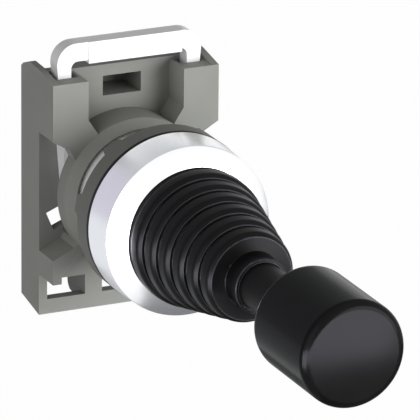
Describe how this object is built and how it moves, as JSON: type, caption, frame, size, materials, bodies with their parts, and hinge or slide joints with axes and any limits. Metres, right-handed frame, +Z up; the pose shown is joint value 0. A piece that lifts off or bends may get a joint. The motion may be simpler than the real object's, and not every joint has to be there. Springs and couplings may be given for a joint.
{
  "type": "industrial joystick",
  "caption": "Panel-mounted joystick: cylindrical knob on a lever with a rubber bellows, bright front ring, spacer collar and a rear holder with lock yoke for contact blocks.",
  "frame": {"origin": "on the lever's axis, in the rear face of the panel seal, where the panel's front face sits", "axes": "-Y along the lever towards the user, +Y through the panel to the contact blocks, +X to the user's right, +Z up"},
  "size_m": [0.0302, 0.0984, 0.0484],
  "materials": {
    "ring_metal": "bright plated, smooth",
    "black_seal": "matt",
    "collar_grey": "fine satin",
    "neck_metal": "bright plated casting",
    "plain_steel": "zinc plated",
    "boot_rubber": "satin",
    "pin_steel": "ground",
    "lever_steel": "turned",
    "sleeve_black": "satin",
    "spring_steel": "drawn wire",
    "knob_black": "soft gloss",
    "insert_brass": "turned",
    "screw_steel": "zinc plated",
    "plunger_white": "satin",
    "guide_grey": "satin",
    "holder_grey": "fine satin",
    "yoke_white": "satin"
  },
  "bodies": {
    "housing": {"bezel": "ring_metal", "bezel_seal": "black_seal", "collar": "collar_grey", "panel_seal": "black_seal", "neck": "neck_metal", "boot_ring": "plain_steel", "boot": "boot_rubber", "side_pins": "pin_steel", "return_spring": "spring_steel", "plunger_guide": "guide_grey", "snap_ring": "spring_steel", "holder": "holder_grey"},
    "gimbal": {"gimbal_ring": "plain_steel", "cross_pin": "pin_steel"},
    "stick": {"lever": "lever_steel", "spring_cup": "plain_steel", "spacer_sleeve": "sleeve_black", "knob": "knob_black", "knob_insert": "insert_brass", "tilt_plate": "plain_steel", "plate_screw": "screw_steel"},
    "right_plunger": {"plunger_right": "plunger_white"},
    "left_plunger": {"plunger_left": "plunger_white"},
    "upper_plunger": {"plunger_upper": "plunger_white"},
    "lower_plunger": {"plunger_lower": "plunger_white"},
    "yoke": {"lock_yoke": "yoke_white"}
  },
  "joints": [
    {"name": "tilt_up_down", "type": "hinge", "parent": "housing", "child": "gimbal", "pos_m": [0, -0.0042, 0], "axis": [1, 0, 0], "range_deg": [-15, 15], "stiffness_Nm_per_rad": 4, "deforming": ["boot", "return_spring"]},
    {"name": "tilt_left_right", "type": "hinge", "parent": "gimbal", "child": "stick", "pos_m": [0, -0.0042, 0], "axis": [0, 0, 1], "range_deg": [-15, 15], "stiffness_Nm_per_rad": 4, "deforming": ["boot", "return_spring"]},
    {"name": "push_right", "type": "slide", "parent": "housing", "child": "right_plunger", "axis": [0, 1, 0], "range_m": [-0.0016, 0.0016]},
    {"name": "push_left", "type": "slide", "parent": "housing", "child": "left_plunger", "axis": [0, 1, 0], "range_m": [-0.0016, 0.0016]},
    {"name": "push_upper", "type": "slide", "parent": "housing", "child": "upper_plunger", "axis": [0, 1, 0], "range_m": [-0.0016, 0.0016]},
    {"name": "push_lower", "type": "slide", "parent": "housing", "child": "lower_plunger", "axis": [0, 1, 0], "range_m": [-0.0016, 0.0016]},
    {"name": "yoke_lift", "type": "slide", "parent": "housing", "child": "yoke", "axis": [0, 0, 1], "range_m": [0, 0.006]}
  ],
  "couplings": [
    {"joint": "push_right", "follows": "tilt_left_right", "m_per_rad": 0.00567},
    {"joint": "push_left", "follows": "tilt_left_right", "m_per_rad": -0.00567},
    {"joint": "push_upper", "follows": "tilt_up_down", "m_per_rad": -0.00567},
    {"joint": "push_lower", "follows": "tilt_up_down", "m_per_rad": 0.00567}
  ]
}
